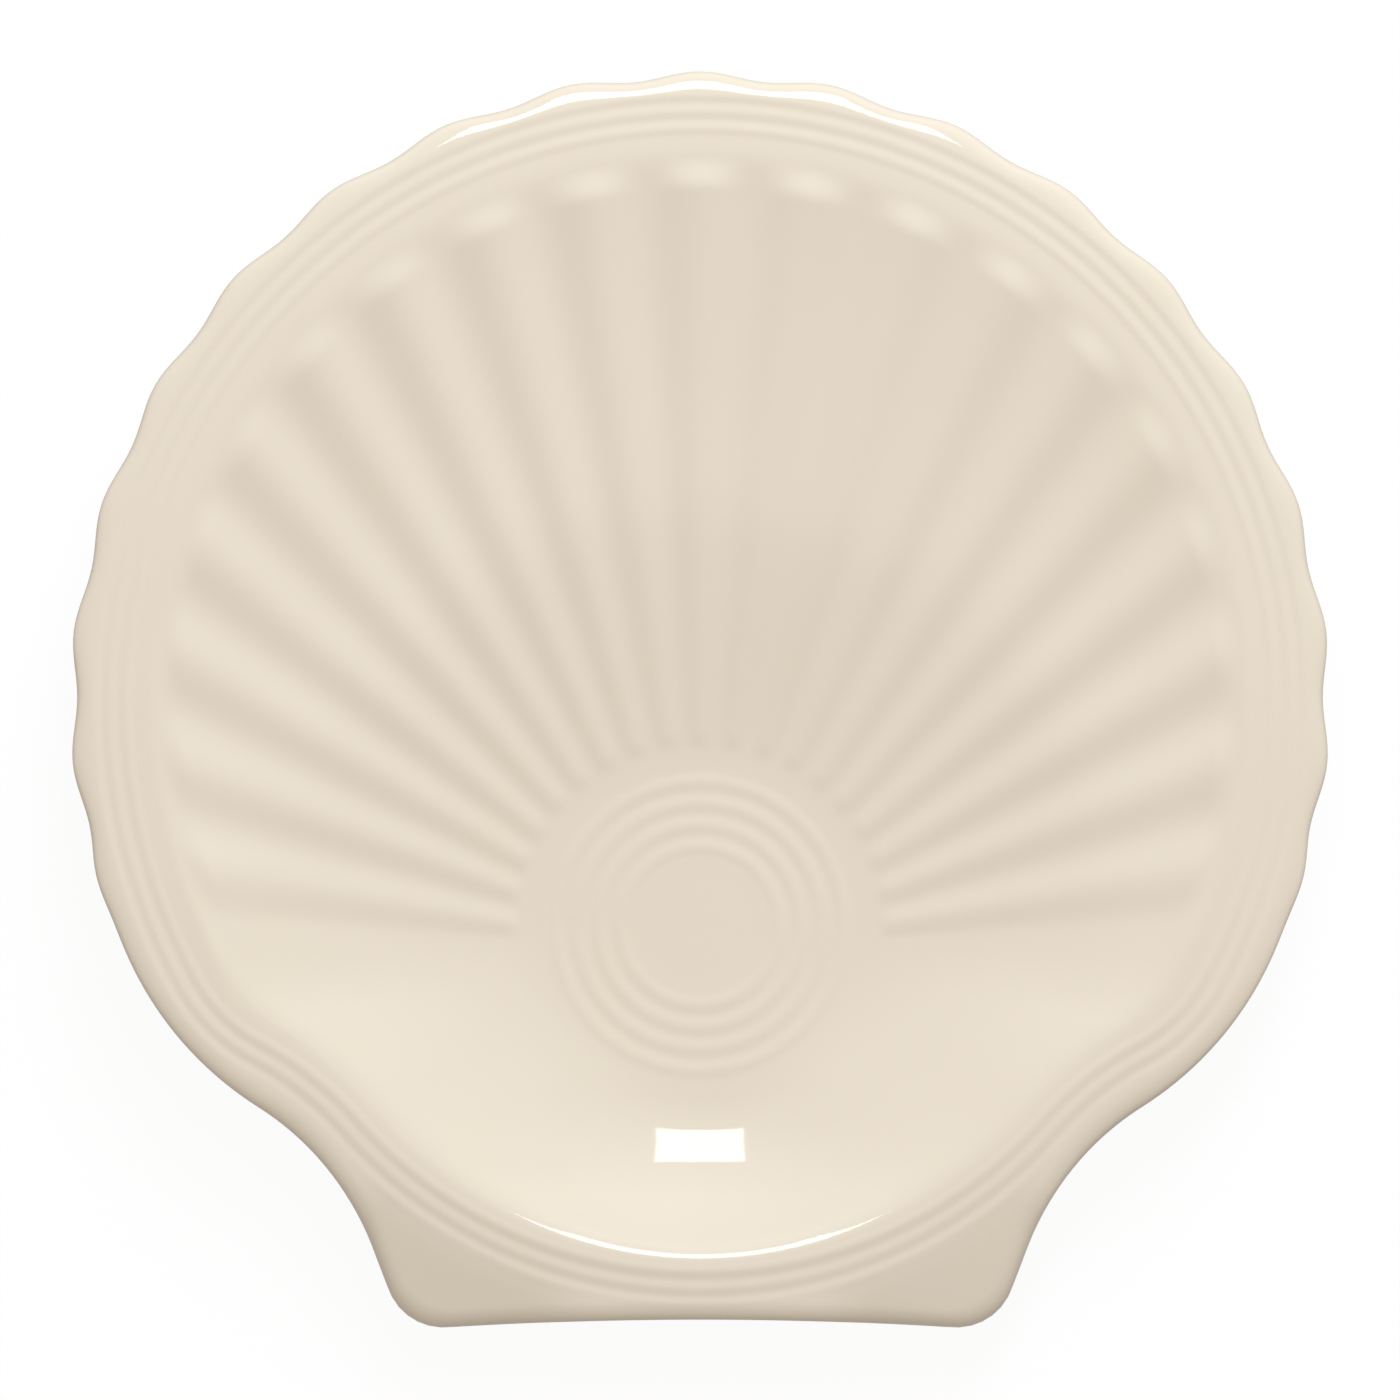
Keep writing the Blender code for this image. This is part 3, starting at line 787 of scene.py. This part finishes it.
def cream_glaze():
    """Cream glaze on stoneware: glossy, nearly even, darker where steep (thinned glaze and painted shade),
    none on the foot.
    """
    finish = bpy.context.scene.glaze_finish
    material, tree = new_material("cream_glaze_on_stoneware")
    place = add_node(tree, "ShaderNodeTexCoord")
    # Glaze pools and thins in soft clouds some 35 mm wide, which give the eye a barely uneven colour.
    clouds = add_node(
        tree,
        "ShaderNodeTexNoise",
        inputs={
            "Vector": place.outputs["Object"],
            "Scale": 1 / CLOUD_SIZE,
            "Detail": 2.0,
            "Roughness": 0.5,
        },
    )
    cloud_share = add_node(
        tree,
        "ShaderNodeMapRange",
        inputs={"Value": clouds.outputs[0], "From Min": 0.3, "From Max": 0.7},
    )
    body = add_node(
        tree,
        "ShaderNodeMix",
        {"data_type": "RGBA"},
        {0: cloud_share.outputs[0], 6: linear(finish.deep_colour), 7: linear(finish.colour)},
    )
    # Steep and downward faces get a darker colour: glaze that ran off the edge and underside, and painted
    # shade there.
    facing = add_node(tree, "ShaderNodeSeparateXYZ", inputs={0: place.outputs["Normal"]})
    thinned_and_shaded = add_node(
        tree,
        "ShaderNodeMapRange",
        inputs={"Value": facing.outputs["Z"], "From Min": STEEP_START, "From Max": STEEP_FULL},
    )
    run_off_and_shade = add_node(
        tree,
        "ShaderNodeMix",
        {"data_type": "RGBA"},
        {0: thinned_and_shaded.outputs[0], 6: body.outputs[2], 7: linear(finish.thin_glaze_and_shade_colour)},
    )
    # The foot's lowest millimetre stands on the kiln shelf, so it is bare clay.
    height = add_node(tree, "ShaderNodeSeparateXYZ", inputs={0: place.outputs["Object"]})
    bare = add_node(
        tree,
        "ShaderNodeMapRange",
        inputs={"Value": height.outputs["Z"], "From Min": GLAZED_HEIGHT, "From Max": BARE_HEIGHT},
    )
    colour = add_node(
        tree,
        "ShaderNodeMix",
        {"data_type": "RGBA"},
        {0: bare.outputs[0], 6: run_off_and_shade.outputs[2], 7: linear(finish.clay_colour)},
    )
    roughness = add_node(
        tree,
        "ShaderNodeMapRange",
        inputs={"Value": bare.outputs[0], "To Min": finish.roughness, "To Max": CLAY_ROUGHNESS},
    )
    # A fired glaze is never quite level: waves some 14 mm long bend its reflections slightly.
    waves = add_node(
        tree,
        "ShaderNodeTexNoise",
        inputs={
            "Vector": place.outputs["Object"],
            "Scale": 1 / WAVE_LENGTH,
            "Detail": 1.0,
            "Roughness": 0.4,
        },
    )
    level = add_node(
        tree,
        "ShaderNodeBump",
        inputs={"Height": waves.outputs[0], "Distance": finish.wave_height, "Strength": 1.0},
    )
    surface = add_node(
        tree,
        "ShaderNodeBsdfPrincipled",
        inputs={
            "Base Color": colour.outputs[2],
            "Roughness": roughness.outputs[0],
            "Normal": level.outputs[0],
            "IOR": GLAZE_IOR,
        },
    )
    add_node(tree, "ShaderNodeOutputMaterial", inputs={"Surface": surface.outputs[0]})
    return material


def white_to_eye(tree, shader, brightness):
    """Mixes a plain shader with white light for what the eye, gloss and glass see of the background."""
    path = add_node(tree, "ShaderNodeLightPath")
    known = {
        "eye": path.outputs["Is Camera Ray"],
        "gloss": path.outputs["Is Glossy Ray"],
        "glass": path.outputs["Is Transmission Ray"],
    }
    steps = [
        ("eye_or_gloss", "MAXIMUM", "eye", "gloss"),
        ("seen", "MAXIMUM", "eye_or_gloss", "glass"),
        ("share", "MULTIPLY", "seen", brightness),
    ]
    add_steps(tree, known, steps)
    in_world = shader.bl_idname == "ShaderNodeBackground"
    white = add_node(
        tree,
        "ShaderNodeBackground" if in_world else "ShaderNodeEmission",
        inputs={"Color": WHITE, "Strength": 1.0},
    )
    return add_node(
        tree,
        "ShaderNodeMixShader",
        inputs={0: known["share"], 1: shader.outputs[0], 2: white.outputs[0]},
    )


def lay_floor(stage):
    """A pale floor that shows white but keeps a part of the platter's shadow."""
    half = stage.floor_size / 2
    mesh = bpy.data.meshes.new("floor")
    corners = [(-half, -half, 0.0), (half, -half, 0.0), (half, half, 0.0), (-half, half, 0.0)]
    mesh.from_pydata(corners, [], [(0, 1, 2, 3)])
    floor = bpy.data.objects.new("floor", mesh)
    bpy.context.scene.collection.objects.link(floor)
    material, tree = new_material("white_card_floor")
    # It bounces light as a pale grey card does, but the eye sees the shadow on a white one.
    path = add_node(tree, "ShaderNodeLightPath")
    card_colour = add_node(
        tree,
        "ShaderNodeMix",
        {"data_type": "RGBA"},
        {0: path.outputs["Is Camera Ray"], 6: linear(stage.floor_colour), 7: WHITE},
    )
    card = add_node(
        tree,
        "ShaderNodeBsdfDiffuse",
        inputs={"Color": card_colour.outputs[2], "Roughness": 0.5},
    )
    shown = white_to_eye(tree, card, stage.floor_whiteness)
    add_node(tree, "ShaderNodeOutputMaterial", inputs={"Surface": shown.outputs[0]})
    mesh.materials.append(material)


def light_world(stage):
    """Even light from all sides, and plain white where the eye or the gloss sees past the floor."""
    world = bpy.data.worlds.new("studio")
    bpy.context.scene.world = world
    world.use_nodes = True
    tree = world.node_tree
    tree.nodes.clear()
    ambient = add_node(
        tree,
        "ShaderNodeBackground",
        inputs={"Color": linear(stage.ambient_colour), "Strength": stage.ambient_strength},
    )
    shown = white_to_eye(tree, ambient, 1.0)
    add_node(tree, "ShaderNodeOutputWorld", inputs={"Surface": shown.outputs[0]})


def hang_lamp(name, tilt, turn, distance, width, height, power, colour, in_gloss=True):
    """An area lamp that faces the platter. Tilt is from straight above, and turn is from +Y towards +X."""
    lamp = bpy.data.lights.new(name, "AREA")
    lamp.shape = "RECTANGLE"
    lamp.size = width
    lamp.size_y = height
    lamp.energy = power
    lamp.color = linear(colour)[:3]
    lamp_object = bpy.data.objects.new(name, lamp)
    lamp_object.location = (
        distance * math.sin(tilt) * math.sin(turn),
        distance * math.sin(tilt) * math.cos(turn),
        distance * math.cos(tilt),
    )
    lamp_object.rotation_euler = (-tilt, 0.0, -turn)
    lamp_object.visible_glossy = in_gloss
    bpy.context.scene.collection.objects.link(lamp_object)


def set_camera(stage):
    """A long lens straight above the platter, as the photograph has it."""
    camera = bpy.data.cameras.new("camera")
    camera.lens = LENS
    camera.sensor_width = SENSOR_WIDTH
    middle = (CAD_BOX[0] + CAD_BOX[1]) / 2
    camera_object = bpy.data.objects.new("camera", camera)
    distance = stage.view_width * LENS / SENSOR_WIDTH
    camera_object.location = (middle.x, middle.y, CAD_BOX[1].z + distance)
    camera.clip_end = distance * 4
    bpy.context.scene.collection.objects.link(camera_object)
    bpy.context.scene.camera = camera_object


class PlatterSizes(bpy.types.PropertyGroup):
    """Sizes of the platter's relief."""

    rib_height_hub: bpy.props.FloatProperty(
        name="Rib height at hub",
        description="How far the ribs stand out where they begin",
        default=0.00025,
        precision=5,
        unit="LENGTH",
    )
    rib_height_gain: bpy.props.FloatProperty(
        name="Rib height gain",
        description="How much further the ribs stand out with each metre of their length",
        default=0.0105,
        precision=4,
    )
    rib_sharpness: bpy.props.FloatProperty(
        name="Rib sharpness",
        description="Above 1, crests are narrower than valleys",
        default=1.0,
        min=0.2,
        max=6.0,
    )
    ridge_height: bpy.props.FloatProperty(
        name="Ridge height",
        description="How far the rim's fine ridges stand out",
        default=0.00016,
        precision=5,
        unit="LENGTH",
    )
    ridge_pitch: bpy.props.FloatProperty(
        name="Ridge pitch",
        description="Distance between the rim's ridges",
        default=0.0039,
        precision=5,
        unit="LENGTH",
    )
    ridge_count: bpy.props.IntProperty(
        name="Ridge count", description="Number of ridges round the rim", default=3, min=1, max=7
    )
    ring_height: bpy.props.FloatProperty(
        name="Ring height",
        description="How far the hub's rings stand out",
        default=0.00017,
        precision=5,
        unit="LENGTH",
    )
    ring_pitch: bpy.props.FloatProperty(
        name="Ring pitch",
        description="Distance between the hub's rings",
        default=0.00503,
        precision=5,
        unit="LENGTH",
    )
    ring_first_radius: bpy.props.FloatProperty(
        name="First ring's radius",
        description="Radius of the innermost ring's crest",
        default=0.0183,
        precision=5,
        unit="LENGTH",
    )
    ring_count: bpy.props.IntProperty(
        name="Ring count", description="Number of rings on the hub", default=4, min=1, max=8
    )
    scallop_depth: bpy.props.FloatProperty(
        name="Scallop depth",
        description="Depth of the scallops along the fan's edge",
        default=0.0017,
        precision=5,
        unit="LENGTH",
    )


class GlazeFinish(bpy.types.PropertyGroup):
    """Colours and gloss of the glaze."""

    colour: bpy.props.StringProperty(
        name="Colour",
        description="sRGB hex value of the glaze where it is of full thickness",
        default="#e1d6c7",
    )
    deep_colour: bpy.props.StringProperty(
        name="Deep colour",
        description="sRGB hex value of the glaze where it has pooled",
        default="#e0d5c5",
    )
    # The glaze's colour on steep and downward faces, which also holds painted shade there.
    thin_glaze_and_shade_colour: bpy.props.StringProperty(
        name="Thin colour",
        description="sRGB hex value of the glaze on the edge and underneath",
        default="#c7bdaf",
    )
    clay_colour: bpy.props.StringProperty(
        name="Clay colour",
        description="sRGB hex value of the bare clay under the foot",
        default="#cdbfa6",
    )
    roughness: bpy.props.FloatProperty(
        name="Roughness", description="Roughness of the glaze", default=0.05, min=0.0, max=1.0
    )
    wave_height: bpy.props.FloatProperty(
        name="Wave height",
        description="Height of the slight waves in the glaze",
        default=0.00001,
        precision=6,
        unit="LENGTH",
    )


class StageSettings(bpy.types.PropertyGroup):
    """Floor, lamps and camera."""

    floor_size: bpy.props.FloatProperty(
        name="Floor size", description="Side of the square floor", default=8.0, unit="LENGTH"
    )
    floor_colour: bpy.props.StringProperty(
        name="Floor colour", description="sRGB hex value of the card that the floor is", default="#cfcecb"
    )
    floor_whiteness: bpy.props.FloatProperty(
        name="Floor whiteness",
        description="Share of plain white in what the eye sees of the floor",
        default=0.94,
        min=0.0,
        max=1.0,
    )
    ambient_strength: bpy.props.FloatProperty(
        name="Ambient strength", description="Even light from all sides", default=0.50, min=0.0
    )
    ambient_colour: bpy.props.StringProperty(
        name="Ambient colour",
        description="sRGB hex value of the even light, slightly warm",
        default="#fff2e2",
    )
    lamp_colour: bpy.props.StringProperty(
        name="Lamp colour",
        description="sRGB hex value of the lamps' light, slightly cool",
        default="#eff9ff",
    )
    softbox_power: bpy.props.FloatProperty(
        name="Softbox power",
        description="Power of the softbox behind the fan, in watts",
        default=23.6,
        min=0.0,
    )
    softbox_tilt: bpy.props.FloatProperty(
        name="Softbox tilt",
        description="Angle of the softbox from straight above",
        default=math.radians(30),
        subtype="ANGLE",
    )
    softbox_width: bpy.props.FloatProperty(
        name="Softbox width",
        description="Side of the softbox across the view",
        default=1.12,
        unit="LENGTH",
    )
    softbox_height: bpy.props.FloatProperty(
        name="Softbox height",
        description="Side of the softbox along the view",
        default=0.90,
        unit="LENGTH",
    )
    softbox_distance: bpy.props.FloatProperty(
        name="Softbox distance",
        description="Distance of the softbox from the platter",
        default=3.0,
        unit="LENGTH",
    )
    fill_power: bpy.props.FloatProperty(
        name="Fill power",
        description="Power of the low lamp behind the fan, in watts",
        default=33.8,
        min=0.0,
    )
    fill_tilt: bpy.props.FloatProperty(
        name="Fill tilt",
        description="Angle of the low lamp from straight above",
        default=math.radians(55),
        subtype="ANGLE",
    )
    fill_turn: bpy.props.FloatProperty(
        name="Fill turn",
        description="Angle of the low lamp from the top of the fan towards its right",
        default=math.radians(15),
        subtype="ANGLE",
    )
    fill_distance: bpy.props.FloatProperty(
        name="Fill distance",
        description="Distance of the low lamp from the platter",
        default=2.2,
        unit="LENGTH",
    )
    fill_size: bpy.props.FloatProperty(
        name="Fill size", description="Side of the square low lamp", default=0.9, unit="LENGTH"
    )
    view_width: bpy.props.FloatProperty(
        name="View width",
        description="Width of what the camera sees at the rim",
        default=0.3224,
        precision=4,
        unit="LENGTH",
    )


class PLATTER_OT_build(bpy.types.Operator):
    """Builds the glazed platter in place of its plain solid"""

    bl_idname = "platter.build"
    bl_label = "Build platter"

    def execute(self, context):
        columns = Columns()
        mesh = ring_mesh("glazed_platter", columns, upper_rows(columns) + under_rows(columns))
        platter = bpy.data.objects.new("glazed_platter", mesh)
        context.scene.collection.objects.link(platter)
        press_relief(platter, cream_glaze())
        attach(platter, "root")
        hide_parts("shell_platter")
        return {"FINISHED"}


class PLATTER_OT_stage(bpy.types.Operator):
    """Sets the floor, the lamps and the camera"""

    bl_idname = "platter.stage"
    bl_label = "Set stage"

    def execute(self, context):
        stage = context.scene.platter_stage
        lay_floor(stage)
        light_world(stage)
        hang_lamp(
            "softbox",
            stage.softbox_tilt,
            0.0,
            stage.softbox_distance,
            stage.softbox_width,
            stage.softbox_height,
            stage.softbox_power,
            stage.lamp_colour,
        )
        hang_lamp(
            "low_fill",
            stage.fill_tilt,
            stage.fill_turn,
            stage.fill_distance,
            stage.fill_size,
            stage.fill_size,
            stage.fill_power,
            stage.lamp_colour,
            in_gloss=False,
        )
        set_camera(stage)
        context.scene.view_settings.view_transform = "Standard"
        return {"FINISHED"}


class PLATTER_PT_panel(bpy.types.Panel):
    """Lists the platter's operators and sizes"""

    bl_idname = "PLATTER_PT_panel"
    bl_label = "Shell Platter"
    bl_space_type = "VIEW_3D"
    bl_region_type = "UI"
    bl_category = "Shell Platter"

    def draw(self, context):
        scene = context.scene
        for operator in OPERATORS:
            self.layout.operator(operator.bl_idname)
        for group in (scene.platter_sizes, scene.glaze_finish, scene.platter_stage):
            column = self.layout.column(align=True)
            for name in group.__annotations__:
                column.prop(group, name)


OPERATORS = (PLATTER_OT_build, PLATTER_OT_stage)
CLASSES = (PlatterSizes, GlazeFinish, StageSettings, *OPERATORS, PLATTER_PT_panel)


def register():
    for cls in CLASSES:
        bpy.utils.register_class(cls)
    bpy.types.Scene.platter_sizes = bpy.props.PointerProperty(type=PlatterSizes)
    bpy.types.Scene.glaze_finish = bpy.props.PointerProperty(type=GlazeFinish)
    bpy.types.Scene.platter_stage = bpy.props.PointerProperty(type=StageSettings)


def unregister():
    del bpy.types.Scene.platter_stage
    del bpy.types.Scene.glaze_finish
    del bpy.types.Scene.platter_sizes
    for cls in reversed(CLASSES):
        bpy.utils.unregister_class(cls)


def main():
    register()
    bpy.ops.platter.build()
    bpy.ops.platter.stage()


if __name__ == "__main__":
    main()
